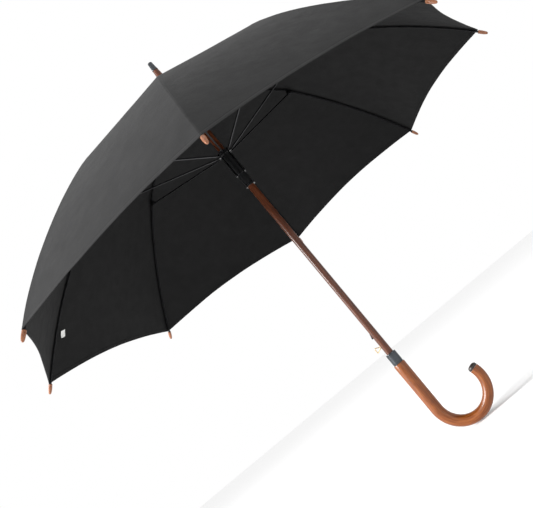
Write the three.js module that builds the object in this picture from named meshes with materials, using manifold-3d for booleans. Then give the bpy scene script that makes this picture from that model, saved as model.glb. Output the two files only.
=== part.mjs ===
// Automatic stick umbrella with a crook handle, modelled open.
// Millimetres. +Z runs up the shaft towards the ferrule, and the crook turns towards +X.
// The origin is on the shaft's axis, in the middle of the straight grip.
import * as THREE from 'three';
import { mergeVertices } from 'three/addons/utils/BufferGeometryUtils.js';
import Module from 'manifold-3d';

const wasm = await Module();
wasm.setup();

const DEG = Math.PI / 180;

// Clearances
const GAP = 0.3; // between pieces that touch
const RUNNING_GAP = 0.3; // between pieces that slide on each other

// Flat tangs, in the ends of the channels
const TANG_SPREAD = 0.8; // beyond the channel's inner height
const TANG_HOLD = 5; // length inside the channel

// Arms: a rib, its tip, its clip, its stretcher and the cloth that it carries
const ARM_COUNT = 8;
const CANOPY_TURN = 18.7 * DEG; // turn of the first rib from the crook's side

// Rib, a steel channel that the cloth bends into an arc
const NOTCH_PIVOT_R = 10.5;
const NOTCH_PIVOT_Z = 716;
const TIP_R = 515;
const TIP_Z = 400;
const RIB_HALF_TURN = 17.5 * DEG; // half of the angle that the rib's arc turns through
const RIB_WIDTH = 3.2;
const RIB_HEIGHT = 2.8;
const RIB_WALL = 0.5;
const RIB_STEPS = 24;
const CROWN_HEADING = -31 * DEG; // slope of the rib at the notch, where the cloth pulls it down
const CROWN_PULL = 150; // how strongly the rib keeps that slope
const SHOULDER_PULL = 50; // how strongly it keeps the arc's slope inside the clip

// Rib tip, a wooden bead on the end of the rib
const TIP_LENGTH = 18;
const TIP_RADIUS = 3.4;
const TIP_SOCKET_DEPTH = 9;

// Clip that carries the stretcher's pivot
const CLIP_SHARE = 0.44; // where the pivot is along the rib
const CLIP_DROP = 6; // pivot below the rib's centreline
const CLIP_LENGTH = 8;
const CLIP_WALL = 0.7;
const CLIP_CLEARANCE = 0.8; // round the curved rib
const CLIP_PIN_R = 0.7;

// Stretcher, a steel channel from the clip to the runner
const STRETCHER_WIDTH = 2.8;
const STRETCHER_HEIGHT = 2.4;
const STRETCHER_WALL = 0.5;
const CLIP_EYE_R = 2;
const RUNNER_EYE_R = 0.95;
const RUNNER_EYE_BORE_R = 0.45;
const TANG_WIDTH = 1.2;
const CLIP_TANG = 6; // from the clip's pivot to the channel
const RUNNER_TANG = 8; // from the runner's pivot to the channel

// Cloth
const CLOTH_THICKNESS = 0.8;
const CLOTH_LIFT = 3; // underside of the cloth above the rib's centreline
const CLOTH_EYE_R = 8.2; // hole in the crown
const HEM_SHARE = 0.962; // where the cloth's corner is along the rib
const HEM_MID_SHARE = 0.936; // where the middle of the hem is, seen along the rib
const CROWN_RISE = 6.5; // extra height of the cloth over the notch
const CROWN_RISE_R = 60;
const CLOTH_STEPS_OUT = 18;
const CLOTH_STEPS_ROUND = 4;

// Shaft, a wooden stick, bored for the opening spring and slotted for its drive pin
const SHAFT_R = 6.8;
const SHAFT_BOTTOM_Z = -30;
const SHAFT_SHOULDER_Z = 730;
const SHAFT_NECK_R = 5.6;
const SHAFT_NECK_Z = 746;
const SPIGOT_R = 3.6;
const SPIGOT_LENGTH = 10;
const SPRING_BORE_R = 4.2;
const SPRING_SEAT_Z = 130;
const DRIVE_SLOT_WIDTH = 2.8;

// Ferrule cap
const FERRULE_TOP_Z = 765;
const FERRULE_TOP_R = 4.4;

// Notch that holds the ribs' roots
const NOTCH_R = 13;
const NOTCH_BELOW = 8;
const NOTCH_ABOVE = 3.8;
const NOTCH_SLOT = 1.8;
const NOTCH_SLOT_FLOOR_R = 8.5;
const RIB_EYE_R = 1.7;
const RIB_EYE_BORE_R = 0.75;
const RIB_TANG = 10; // from the notch's pivot to the channel
const RIB_TANG_WIDTH = 1;
const WIRE_R = 0.4;

// Crown washer, on top of the cloth
const WASHER_R = 15;
const WASHER_THICKNESS = 1.2;
const WASHER_SLOPE = 0.8; // share of the cloth's slope at the crown

// Runner: a grooved barrel with the stretchers' flange, and a sleeve below it
const RUNNER_PIVOT_R = 13;
const RUNNER_PIVOT_Z = 540;
const RUNNER_TOP = 6; // flange above the pivot
const RUNNER_FLANGE = 9; // height of the top flange
const RUNNER_FLANGE_R = 14.2;
const BARREL_R = 11.2;
const BARREL_LENGTH = 42;
const GROOVE_FLOOR_R = 8.1; // the stretchers' ends run in the grooves
const GROOVE_WIDTH = 3.4;
const SLEEVE_R = 8.4;
const SLEEVE_LENGTH = 30;
const SLEEVE_COLLAR_R = 10.8;
const SLEEVE_RIM_R = 9.6;
const SLEEVE_FLANGE = 2.6;
const SLEEVE_GROOVE = 10;
const CATCH_WINDOW_WIDTH = 3.2;
const CATCH_WINDOW_LENGTH = 9;
const RUNNER_TRAVEL = 339; // from open to closed

// Opening spring and its drive pin
const SPRING_WIRE_R = 0.5;
const SPRING_R = 3.3;
const SPRING_TURNS = 16;
const SPRING_STEPS_A_TURN = 7;
const SPRING_WIRE_SIDES = 4;
const DRIVE_PIN_R = 1.1;
const DRIVE_PIN_BELOW = 8; // pin below the sleeve's top

// Stop pin above the runner
const STOP_PIN_R = 1;
const STOP_PIN_LENGTH = 19;

// Catch: a lever in a slot of the shaft, with a nib for the runner and a wire trigger
const CATCH_SLOT_WIDTH = 2.8;
const CATCH_SLOT_DEPTH = 7;
const CATCH_SLOT_LOW_Z = 53;
const CATCH_SLOT_HIGH_Z = 127;
const CATCH_PIVOT_X = -4;
const CATCH_PIVOT_Z = 60;
const CATCH_PIN_R = 1;
const CATCH_PIN_LENGTH = 9;
const LEVER_WIDTH = 1.8;
const LEVER_OUTER_X = -6.2;
const LEVER_INNER_X = -4.2;
const LEVER_TOP_Z = 126;
const NIB_BOTTOM_Z = 110;
const NIB_TOP_Z = 124;
const NIB_OUT = 3; // beyond the shaft's surface
const TRIGGER_Z = 90;
const TRIGGER_OUT = 12; // beyond the shaft's surface
const TRIGGER_HEIGHT = 11.5;
const TRIGGER_WIRE_R = 0.8;
const TRIGGER_STEPS = 20;
const LEAF_THICKNESS = 0.5;
const LEAF_LOW_Z = 74;
const LEAF_BOW_Z = 92;
const LEAF_HIGH_Z = 110;
const LEAF_STEPS = 8;

// Collar
const COLLAR_BOTTOM_Z = 48;
const COLLAR_LENGTH = 24;
const COLLAR_R = 10;

// Crook handle
const GRIP_R = 11.3;
const CROOK_END_R = 9.2;
const CROOK_CENTRE_Z = -55;
const CROOK_BEND_R = 51;
const CROOK_SWEEP = 198 * DEG;
const CROOK_STEPS = 18;
const CROOK_SIDES = 14;
const END_CAP_LENGTH = 8;

const ROUND = 28; // sides of a turned piece
const SMALL_ROUND = 10; // sides of a pin or an eye
const BORE_SIDES = 14; // sides of the spring's bore
const WIRE_SIDES = 6; // sides of the notch wire and the trigger

// ---------------------------------------------------------------- solids

/** A closed geometry as a manifold, with its faces pointing out. */
function solid(geometry) {
  const bare = new THREE.BufferGeometry();
  bare.setAttribute('position', geometry.getAttribute('position'));
  if (geometry.index) bare.setIndex(geometry.index);
  const merged = mergeVertices(bare, 1e-4);
  const points = merged.getAttribute('position').array;
  const faces = Uint32Array.from(merged.index.array);
  const kept = [];
  for (let i = 0; i < faces.length; i += 3) {
    const [a, b, c] = faces.subarray(i, i + 3);
    if (a !== b && b !== c && c !== a) kept.push(a, b, c);
  }
  const corner = (n) => new THREE.Vector3().fromArray(points, n * 3);
  let volume = 0;
  for (let i = 0; i < kept.length; i += 3) {
    volume += corner(kept[i]).dot(corner(kept[i + 1]).cross(corner(kept[i + 2])));
  }
  if (volume < 0) kept.reverse();
  const mesh = new wasm.Mesh({
    numProp: 3,
    vertProperties: Float32Array.from(points),
    triVerts: Uint32Array.from(kept),
  });
  return new wasm.Manifold(mesh);
}

function geometryOf(manifold) {
  const mesh = manifold.getMesh();
  const geometry = new THREE.BufferGeometry();
  geometry.setAttribute('position', new THREE.BufferAttribute(mesh.vertProperties, 3));
  geometry.setIndex(new THREE.BufferAttribute(mesh.triVerts, 1));
  return geometry;
}

const cut = (body, ...tools) => tools.reduce((left, tool) => left.subtract(tool), body);
const join = (body, ...others) => others.reduce((whole, other) => whole.add(other), body);

/** A turned piece about Z, from its outline's [radius, height] points. */
function turned(outline, sides = ROUND) {
  const points = outline.map(([r, z]) => new THREE.Vector2(r, z));
  return solid(new THREE.LatheGeometry(points, sides).rotateX(90 * DEG));
}

/** A turned ring about Z with a bore. */
function ring(innerR, outerR, lowZ, highZ, sides = ROUND) {
  const outline = [
    [innerR, lowZ],
    [outerR, lowZ],
    [outerR, highZ],
    [innerR, highZ],
    [innerR, lowZ],
  ];
  return turned(outline, sides);
}

/** A block between two corners. */
function block(lowX, lowY, lowZ, highX, highY, highZ) {
  const box = new THREE.BoxGeometry(highX - lowX, highY - lowY, highZ - lowZ);
  box.translate((lowX + highX) / 2, (lowY + highY) / 2, (lowZ + highZ) / 2);
  return solid(box);
}

/** A round bar along Y through a point of the XZ plane. */
function crossBar(x, z, radius, length, sides = SMALL_ROUND) {
  return solid(new THREE.CylinderGeometry(radius, radius, length, sides).translate(x, 0, z));
}

/** A plate in the XZ plane, of a given thickness along Y, from an outline of [x, z] points. */
function plate(outline, thickness) {
  const shape = new THREE.Shape(outline.map(([x, z]) => new THREE.Vector2(x, z)));
  const slab = new THREE.ExtrudeGeometry(shape, { depth: thickness, bevelEnabled: false });
  return solid(slab.rotateX(90 * DEG).translate(0, thickness / 2, 0));
}

/** A straight plate in the XZ plane from one point to another. */
function strap(from, to, width, thickness) {
  const along = to.clone().sub(from).normalize();
  const side = new THREE.Vector2(-along.y, along.x).multiplyScalar(width / 2);
  const corners = [
    from.clone().sub(side),
    to.clone().sub(side),
    to.clone().add(side),
    from.clone().add(side),
  ];
  return plate(corners.map((p) => [p.x, p.y]), thickness);
}

/** A closed skin over rings of points, with flat ends. */
function loft(rings) {
  const sides = rings[0].length;
  const points = rings.flat();
  const faces = [];
  for (let k = 0; k + 1 < rings.length; k += 1) {
    for (let n = 0; n < sides; n += 1) {
      const a = k * sides + n;
      const b = k * sides + ((n + 1) % sides);
      faces.push(a, b, b + sides, a, b + sides, a + sides);
    }
  }
  for (const [k, turn] of [[0, 1], [rings.length - 1, -1]]) {
    const middle = points.length;
    const centre = new THREE.Vector3();
    rings[k].forEach((p) => centre.addScaledVector(p, 1 / sides));
    points.push(centre);
    for (let n = 0; n < sides; n += 1) {
      const a = k * sides + n;
      const b = k * sides + ((n + 1) % sides);
      faces.push(middle, ...(turn > 0 ? [b, a] : [a, b]));
    }
  }
  const geometry = new THREE.BufferGeometry().setFromPoints(points);
  geometry.setIndex(faces);
  return solid(geometry);
}

/** A round bar along points of the XZ plane, with a radius for each point. */
function bar(path, radii, sides) {
  const rings = path.map((p, k) => {
    const before = path[Math.max(k - 1, 0)];
    const after = path[Math.min(k + 1, path.length - 1)];
    const along = after.clone().sub(before).normalize();
    const across = new THREE.Vector3(-along.y, 0, along.x);
    return Array.from({ length: sides }, (_, n) => {
      const angle = (n / sides) * 2 * Math.PI;
      return new THREE.Vector3(p.x, 0, p.y)
        .addScaledVector(across, radii[k] * Math.cos(angle))
        .add(new THREE.Vector3(0, radii[k] * Math.sin(angle), 0));
    });
  });
  return loft(rings);
}

// ---------------------------------------------------------------- the rib's line

const chord = new THREE.Vector2(TIP_R - NOTCH_PIVOT_R, TIP_Z - NOTCH_PIVOT_Z);
const chordAngle = Math.atan2(chord.y, chord.x);
const arcRadius = chord.length() / 2 / Math.sin(RIB_HALF_TURN);
const arcLength = arcRadius * 2 * RIB_HALF_TURN;
const outward = (heading) => new THREE.Vector2(-Math.sin(heading), Math.cos(heading));
const arcHeading = (share) => chordAngle + RIB_HALF_TURN * (1 - 2 * share);
const arcCentre = new THREE.Vector2(NOTCH_PIVOT_R, NOTCH_PIVOT_Z)
  .addScaledVector(outward(arcHeading(0)), -arcRadius);

const arcPoint = (share) => arcCentre.clone().addScaledVector(outward(arcHeading(share)), arcRadius);
const ahead = (heading) => new THREE.Vector2(Math.cos(heading), Math.sin(heading));

// From the notch to the clip the rib dips below its arc, and beyond the clip it is the arc.
const root = new THREE.Vector2(NOTCH_PIVOT_R, NOTCH_PIVOT_Z);
const shoulder = arcPoint(CLIP_SHARE);
const innerRib = new THREE.CubicBezierCurve(
  root,
  root.clone().addScaledVector(ahead(CROWN_HEADING), CROWN_PULL),
  shoulder.clone().addScaledVector(ahead(arcHeading(CLIP_SHARE)), -SHOULDER_PULL),
  shoulder,
);

/** The rib's heading at a share of its length. */
function headingAt(share) {
  if (share >= CLIP_SHARE) return arcHeading(share);
  const tangent = innerRib.getTangentAt(Math.max(share, 0) / CLIP_SHARE);
  return Math.atan2(tangent.y, tangent.x);
}

/** A point along the rib, lifted above its centreline, as (radius, height). */
function ribPoint(share, lift = 0) {
  const heading = headingAt(share);
  const onLine = share >= CLIP_SHARE ? arcPoint(share) : innerRib.getPointAt(Math.max(share, 0) / CLIP_SHARE);
  onLine.addScaledVector(ahead(heading), Math.min(share, 0) * arcLength);
  return onLine.addScaledVector(outward(heading), lift);
}

/** A channel's section: width, height and wall, open on its lower side when open is -1. */
function channelSection(width, height, wall, open) {
  const half = width / 2;
  const inner = half - wall;
  const rim = (open * height) / 2;
  const web = (-open * height) / 2;
  const floor = web + open * wall;
  return [
    [-half, web],
    [half, web],
    [half, rim],
    [inner, rim],
    [inner, floor],
    [-inner, floor],
    [-inner, rim],
    [-half, rim],
  ];
}

/** A channel swept along points of the XZ plane. */
function channel(path, headings, section) {
  const count = section.length;
  const points = [];
  path.forEach((p, k) => {
    const up = outward(headings[k]);
    for (const [y, lift] of section) {
      points.push(new THREE.Vector3(p.x + up.x * lift, y, p.y + up.y * lift));
    }
  });
  const faces = [];
  for (let k = 0; k + 1 < path.length; k += 1) {
    for (let n = 0; n < count; n += 1) {
      const a = k * count + n;
      const b = k * count + ((n + 1) % count);
      faces.push(a, b, b + count, a, b + count, a + count);
    }
  }
  const flat = section.map(([y, lift]) => new THREE.Vector2(y, lift));
  const ends = THREE.ShapeUtils.triangulateShape(flat, []);
  const turn = THREE.ShapeUtils.isClockWise(flat) ? -1 : 1;
  const last = (path.length - 1) * count;
  for (const [a, b, c] of ends) {
    faces.push(...(turn > 0 ? [a, c, b] : [a, b, c]));
    faces.push(...(turn > 0 ? [last + a, last + b, last + c] : [last + a, last + c, last + b]));
  }
  const geometry = new THREE.BufferGeometry().setFromPoints(points);
  geometry.setIndex(faces);
  return solid(geometry);
}

// ---------------------------------------------------------------- one arm, in its own plane

const notchPivot = new THREE.Vector2(NOTCH_PIVOT_R, NOTCH_PIVOT_Z);
const clipPivot = ribPoint(CLIP_SHARE, -CLIP_DROP);
const runnerPivot = new THREE.Vector2(RUNNER_PIVOT_R, RUNNER_PIVOT_Z);
const tipStartShare = HEM_SHARE + 0.6 / arcLength;
const tipEndShare = tipStartShare + TIP_LENGTH / arcLength;
const ribEndShare = tipStartShare + (TIP_SOCKET_DEPTH - 1) / arcLength;

function ribSolid() {
  const startShare = RIB_TANG / arcLength;
  const shares = Array.from(
    { length: RIB_STEPS + 1 },
    (_, k) => startShare + ((ribEndShare - startShare) * k) / RIB_STEPS,
  );
  const section = channelSection(RIB_WIDTH, RIB_HEIGHT, RIB_WALL, -1);
  const body = channel(shares.map((s) => ribPoint(s)), shares.map(headingAt), section);
  const tangEnd = ribPoint(startShare + (TANG_HOLD + 1) / arcLength);
  const tang = strap(notchPivot, tangEnd, RIB_HEIGHT - 2 * RIB_WALL + TANG_SPREAD, RIB_TANG_WIDTH);
  const eye = crossBar(notchPivot.x, notchPivot.y, RIB_EYE_R, RIB_TANG_WIDTH);
  const bore = crossBar(notchPivot.x, notchPivot.y, RIB_EYE_BORE_R, 4);
  return cut(join(body, tang, eye), bore);
}

function ribTipSolid() {
  const start = ribPoint(tipStartShare);
  const heading = headingAt((tipStartShare + tipEndShare) / 2);
  const socketR = Math.hypot(RIB_WIDTH, RIB_HEIGHT) / 2 + GAP;
  const outline = [
    [socketR, 0],
    [TIP_RADIUS - 0.5, 0],
    [TIP_RADIUS, 1.5],
    [TIP_RADIUS, TIP_LENGTH * 0.7],
    [TIP_RADIUS * 0.86, TIP_LENGTH * 0.9],
    [TIP_RADIUS * 0.5, TIP_LENGTH * 0.98],
    [0, TIP_LENGTH],
    [0, TIP_SOCKET_DEPTH],
    [socketR, TIP_SOCKET_DEPTH],
    [socketR, 0],
  ];
  const points = outline.map(([r, z]) => new THREE.Vector2(r, z));
  const bead = new THREE.LatheGeometry(points, SMALL_ROUND).rotateX(90 * DEG).rotateY(90 * DEG - heading);
  return solid(bead.translate(start.x, 0, start.y));
}

function clipSolid() {
  const middle = ribPoint(CLIP_SHARE);
  const heading = headingAt(CLIP_SHARE);
  const inner = RIB_WIDTH / 2 + GAP;
  const outer = inner + CLIP_WALL;
  const under = -RIB_HEIGHT / 2 - CLIP_CLEARANCE;
  const half = CLIP_LENGTH / 2;
  const low = -CLIP_DROP - CLIP_EYE_R;
  const high = RIB_HEIGHT / 2;
  const shell = cut(
    block(-half, -outer, low, half, outer, high),
    block(-half - 1, -inner, under, half + 1, inner, high + 1),
    block(-half - 1, -inner, low - 1, half + 1, inner, under - CLIP_WALL),
  );
  const pin = crossBar(0, -CLIP_DROP, CLIP_PIN_R, 2 * outer);
  return join(shell, pin).rotate([0, -heading / DEG, 0]).translate([middle.x, 0, middle.y]);
}

function stretcherSolid() {
  const along = runnerPivot.clone().sub(clipPivot).normalize();
  const heading = Math.atan2(-along.y, -along.x);
  const from = clipPivot.clone().addScaledVector(along, CLIP_TANG);
  const to = runnerPivot.clone().addScaledVector(along, -RUNNER_TANG);
  const section = channelSection(STRETCHER_WIDTH, STRETCHER_HEIGHT, STRETCHER_WALL, 1);
  const body = channel([to, from], [heading, heading], section);
  const tangDepth = STRETCHER_HEIGHT - 2 * STRETCHER_WALL + TANG_SPREAD;
  const upperTang = strap(clipPivot, from.clone().addScaledVector(along, TANG_HOLD), tangDepth, TANG_WIDTH);
  const lowerEnd = to.clone().addScaledVector(along, -TANG_HOLD);
  const lowerTang = strap(lowerEnd, runnerPivot, 2 * RUNNER_EYE_R - 0.1, TANG_WIDTH);
  const upperEye = crossBar(clipPivot.x, clipPivot.y, CLIP_EYE_R - GAP, TANG_WIDTH);
  const lowerEye = crossBar(runnerPivot.x, runnerPivot.y, RUNNER_EYE_R, TANG_WIDTH);
  const upperBore = crossBar(clipPivot.x, clipPivot.y, CLIP_PIN_R + RUNNING_GAP, 4);
  const lowerBore = crossBar(runnerPivot.x, runnerPivot.y, RUNNER_EYE_BORE_R, 4, 8);
  const web = strap(from, from.clone().addScaledVector(along, 3), STRETCHER_HEIGHT, TANG_WIDTH);
  return cut(join(body, web, upperTang, lowerTang, upperEye, lowerEye), upperBore, lowerBore);
}

/** How far the crown lifts the cloth at a radius. */
function crownRise(radius) {
  return CROWN_RISE * Math.max(0, 1 - radius / CROWN_RISE_R) ** 2;
}

/** A point of the cloth's underside or top. out runs from crown to hem, turn from -1 to 1. */
function clothPoint(out, turn, lift) {
  const half = Math.PI / ARM_COUNT;
  const dip = 1 - (1 - Math.abs(turn)) ** 2;
  const hemShare = HEM_SHARE - (HEM_SHARE - HEM_MID_SHARE) * dip;
  const crownShare = (CLOTH_EYE_R - NOTCH_PIVOT_R) / arcLength;
  const share = crownShare + (hemShare - crownShare) * out;
  const onRib = ribPoint(share, CLOTH_LIFT + lift);
  const angle = half * turn;
  const straight = Math.cos(half) / Math.cos(half - Math.abs(angle));
  const roundness = Math.min(1, Math.max(0, 1 - out * 8));
  const radius = onRib.x * (straight + (1 - straight) * roundness);
  const seam = Math.abs(turn) === 1 ? (-Math.sign(turn) * GAP) / 2 : 0;
  return new THREE.Vector3(
    radius * Math.cos(angle) - seam * Math.sin(angle),
    radius * Math.sin(angle) + seam * Math.cos(angle),
    onRib.y + crownRise(onRib.x),
  );
}

/** The cloth that one arm carries, from the middle of one gore to the middle of the next. */
function clothSolid() {
  const rows = CLOTH_STEPS_OUT + 1;
  const columns = CLOTH_STEPS_ROUND + 1;
  const points = [];
  for (const lift of [0, CLOTH_THICKNESS]) {
    for (let i = 0; i < rows; i += 1) {
      for (let j = 0; j < columns; j += 1) {
        points.push(clothPoint(i / CLOTH_STEPS_OUT, (2 * j) / CLOTH_STEPS_ROUND - 1, lift));
      }
    }
  }
  const at = (layer, i, j) => (layer * rows + i) * columns + j;
  const faces = [];
  const quad = (a, b, c, d) => faces.push(a, b, c, a, c, d);
  for (let i = 0; i < CLOTH_STEPS_OUT; i += 1) {
    for (let j = 0; j < CLOTH_STEPS_ROUND; j += 1) {
      quad(at(0, i, j), at(0, i, j + 1), at(0, i + 1, j + 1), at(0, i + 1, j));
      quad(at(1, i, j), at(1, i + 1, j), at(1, i + 1, j + 1), at(1, i, j + 1));
    }
    quad(at(0, i, 0), at(0, i + 1, 0), at(1, i + 1, 0), at(1, i, 0));
    const side = CLOTH_STEPS_ROUND;
    quad(at(0, i, side), at(1, i, side), at(1, i + 1, side), at(0, i + 1, side));
  }
  for (let j = 0; j < CLOTH_STEPS_ROUND; j += 1) {
    const hem = CLOTH_STEPS_OUT;
    quad(at(0, 0, j), at(1, 0, j), at(1, 0, j + 1), at(0, 0, j + 1));
    quad(at(0, hem, j), at(0, hem, j + 1), at(1, hem, j + 1), at(1, hem, j));
  }
  const geometry = new THREE.BufferGeometry().setFromPoints(points);
  geometry.setIndex(faces);
  return solid(geometry);
}

// ---------------------------------------------------------------- shaft and head

const runnerTopZ = RUNNER_PIVOT_Z + RUNNER_TOP;
const flangeBottomZ = runnerTopZ - RUNNER_FLANGE;
const barrelBottomZ = flangeBottomZ - BARREL_LENGTH;
const sleeveTopZ = barrelBottomZ - GAP;
const sleeveBottomZ = sleeveTopZ - SLEEVE_LENGTH;
const drivePinZ = sleeveTopZ - DRIVE_PIN_BELOW;
const stopPinZ = runnerTopZ + RUNNING_GAP + STOP_PIN_R;
const runnerBoreR = SHAFT_R + RUNNING_GAP;
const springTopZ = drivePinZ - DRIVE_PIN_R - GAP;

/** Copies of a tool turned about Z, one for each arm. */
function roundTheArms(tool) {
  return Array.from(
    { length: ARM_COUNT },
    (_, k) => tool.rotate([0, 0, (CANOPY_TURN + (k * 2 * Math.PI) / ARM_COUNT) / DEG]),
  );
}

function shaftSolid() {
  const stick = turned([
    [0, SHAFT_BOTTOM_Z],
    [SHAFT_R, SHAFT_BOTTOM_Z],
    [SHAFT_R, SHAFT_SHOULDER_Z],
    [SHAFT_NECK_R, SHAFT_NECK_Z],
    [SPIGOT_R, SHAFT_NECK_Z],
    [SPIGOT_R, SHAFT_NECK_Z + SPIGOT_LENGTH],
    [0, SHAFT_NECK_Z + SPIGOT_LENGTH],
  ]);
  const slotTop = drivePinZ + DRIVE_PIN_R + RUNNING_GAP;
  const slotBottom = drivePinZ - RUNNER_TRAVEL - DRIVE_PIN_R - RUNNING_GAP;
  const bore = turned([
    [0, SPRING_SEAT_Z],
    [SPRING_BORE_R, SPRING_SEAT_Z],
    [SPRING_BORE_R, slotTop],
    [0, slotTop],
  ], BORE_SIDES);
  const half = DRIVE_SLOT_WIDTH / 2;
  const driveSlot = block(-half, 0, slotBottom, half, SHAFT_R + 1, slotTop);
  const catchHalf = CATCH_SLOT_WIDTH / 2;
  const catchSlot = block(
    -SHAFT_R - 1,
    -catchHalf,
    CATCH_SLOT_LOW_Z,
    -SHAFT_R + CATCH_SLOT_DEPTH,
    catchHalf,
    CATCH_SLOT_HIGH_Z,
  );
  const stopHole = crossBar(0, stopPinZ, STOP_PIN_R + GAP, 3 * SHAFT_R);
  const catchHole = crossBar(CATCH_PIVOT_X, CATCH_PIVOT_Z, CATCH_PIN_R + GAP, 3 * SHAFT_R);
  return cut(stick, bore, driveSlot, catchSlot, stopHole, catchHole);
}

function ferruleSolid() {
  const bottom = SHAFT_NECK_Z + GAP;
  const socketTop = SHAFT_NECK_Z + SPIGOT_LENGTH + GAP;
  return turned([
    [SPIGOT_R + GAP, bottom],
    [SHAFT_NECK_R + 0.3, bottom],
    [SHAFT_NECK_R + 0.3, bottom + 1.5],
    [FERRULE_TOP_R, FERRULE_TOP_Z - 2],
    [FERRULE_TOP_R * 0.7, FERRULE_TOP_Z - 0.5],
    [0, FERRULE_TOP_Z],
    [0, socketTop],
    [SPIGOT_R + GAP, socketTop],
    [SPIGOT_R + GAP, bottom],
  ]);
}

function notchSolid() {
  const low = NOTCH_PIVOT_Z - NOTCH_BELOW;
  const high = NOTCH_PIVOT_Z + NOTCH_ABOVE;
  const hub = ring(SHAFT_R + GAP, NOTCH_R, low, high);
  const half = NOTCH_SLOT / 2;
  const roof = NOTCH_PIVOT_Z + RIB_EYE_R + GAP;
  const slots = roundTheArms(block(NOTCH_SLOT_FLOOR_R, -half, low - 1, NOTCH_R + 2, half, roof));
  const grooveHalf = WIRE_R + GAP;
  const groove = ring(
    NOTCH_PIVOT_R - grooveHalf,
    NOTCH_R + 2,
    NOTCH_PIVOT_Z - grooveHalf,
    NOTCH_PIVOT_Z + grooveHalf,
  );
  return cut(hub, ...slots, groove);
}

function notchWireSolid() {
  const wire = new THREE.TorusGeometry(NOTCH_PIVOT_R, WIRE_R, WIRE_SIDES, ROUND);
  return solid(wire.translate(0, 0, NOTCH_PIVOT_Z));
}

/** A coned washer that lies on the cloth round the ferrule. */
function washerSolid() {
  const innerR = SHAFT_R + GAP;
  const rings = [innerR, (innerR + WASHER_R) / 2, WASHER_R];
  const onCloth = clothPoint(0, 0, CLOTH_THICKNESS);
  const slope = Math.tan(-headingAt(0)) + (2 * CROWN_RISE) / CROWN_RISE_R;
  const seat = rings.map((r) => [r, onCloth.z + (onCloth.x - r) * slope * WASHER_SLOPE + 2 * GAP]);
  const top = seat.map(([r, z]) => [r, z + WASHER_THICKNESS]).reverse();
  return turned([...seat, ...top, seat[0]]);
}

// ---------------------------------------------------------------- runner

function barrelSolid() {
  const body = turned([
    [runnerBoreR, barrelBottomZ],
    [BARREL_R, barrelBottomZ],
    [BARREL_R, flangeBottomZ],
    [RUNNER_FLANGE_R, flangeBottomZ + 1],
    [RUNNER_FLANGE_R, runnerTopZ - 1],
    [RUNNER_FLANGE_R - 1, runnerTopZ],
    [runnerBoreR, runnerTopZ],
    [runnerBoreR, barrelBottomZ],
  ]);
  const half = GROOVE_WIDTH / 2;
  const tool = block(GROOVE_FLOOR_R, -half, barrelBottomZ - 1, 20, half, runnerTopZ + 1);
  return cut(body, ...roundTheArms(tool));
}

function sleeveSolid() {
  const body = turned([
    [runnerBoreR, sleeveBottomZ],
    [SLEEVE_RIM_R, sleeveBottomZ],
    [SLEEVE_RIM_R, sleeveBottomZ + SLEEVE_FLANGE],
    [SLEEVE_R, sleeveBottomZ + SLEEVE_FLANGE + 0.8],
    [SLEEVE_R, sleeveTopZ - SLEEVE_FLANGE - 0.8],
    [SLEEVE_COLLAR_R, sleeveTopZ - SLEEVE_FLANGE],
    [SLEEVE_COLLAR_R, sleeveTopZ],
    [runnerBoreR, sleeveTopZ],
    [runnerBoreR, sleeveBottomZ],
  ]);
  const grooveHalf = GROOVE_WIDTH / 2;
  const tool = block(GROOVE_FLOOR_R, -grooveHalf, sleeveTopZ - SLEEVE_GROOVE, 20, grooveHalf, sleeveTopZ + 1);
  const half = CATCH_WINDOW_WIDTH / 2;
  const window = block(
    -20,
    -half,
    sleeveBottomZ - 1,
    0,
    half,
    sleeveBottomZ + CATCH_WINDOW_LENGTH,
  );
  const pinHole = drivePinSolid(GAP, 4);
  return cut(body, ...roundTheArms(tool), window, pinHole);
}

function drivePinSolid(extraR = 0, extraLength = 0) {
  const outer = SLEEVE_R - 0.3 + extraLength;
  const radius = DRIVE_PIN_R + extraR;
  const pin = new THREE.CylinderGeometry(radius, radius, outer, SMALL_ROUND);
  return solid(pin.translate(0, outer / 2, drivePinZ));
}

/** The opening spring, a coil inside the shaft from its seat to the drive pin. */
function springSolid() {
  const low = SPRING_SEAT_Z + GAP + SPRING_WIRE_R;
  const high = springTopZ - SPRING_WIRE_R;
  const count = SPRING_TURNS * SPRING_STEPS_A_TURN;
  const rings = Array.from({ length: count + 1 }, (_, k) => {
    const angle = (k / SPRING_STEPS_A_TURN) * 2 * Math.PI;
    const out = new THREE.Vector3(Math.cos(angle), Math.sin(angle), 0);
    const centre = out.clone().multiplyScalar(SPRING_R).setZ(low + ((high - low) * k) / count);
    return Array.from({ length: SPRING_WIRE_SIDES }, (_, n) => {
      const round = (n / SPRING_WIRE_SIDES) * 2 * Math.PI;
      return centre
        .clone()
        .addScaledVector(out, SPRING_WIRE_R * Math.cos(round))
        .add(new THREE.Vector3(0, 0, SPRING_WIRE_R * Math.sin(round)));
    });
  });
  return loft(rings);
}

// ---------------------------------------------------------------- catch

function leverSolid() {
  const nibX = -SHAFT_R - NIB_OUT;
  const outline = [
    [LEVER_INNER_X, CATCH_PIVOT_Z - 4],
    [LEVER_INNER_X, LEVER_TOP_Z],
    [LEVER_OUTER_X, LEVER_TOP_Z],
    [LEVER_OUTER_X, NIB_TOP_Z],
    [nibX, NIB_BOTTOM_Z + 1],
    [nibX, NIB_BOTTOM_Z],
    [LEVER_OUTER_X, NIB_BOTTOM_Z],
    [LEVER_OUTER_X, CATCH_PIVOT_Z - 4],
  ];
  const blade = plate(outline, LEVER_WIDTH);
  const boss = crossBar(CATCH_PIVOT_X, CATCH_PIVOT_Z, 2.2, LEVER_WIDTH);
  const bore = crossBar(CATCH_PIVOT_X, CATCH_PIVOT_Z, CATCH_PIN_R + RUNNING_GAP, 6);
  return cut(join(blade, boss), bore);
}

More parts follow.
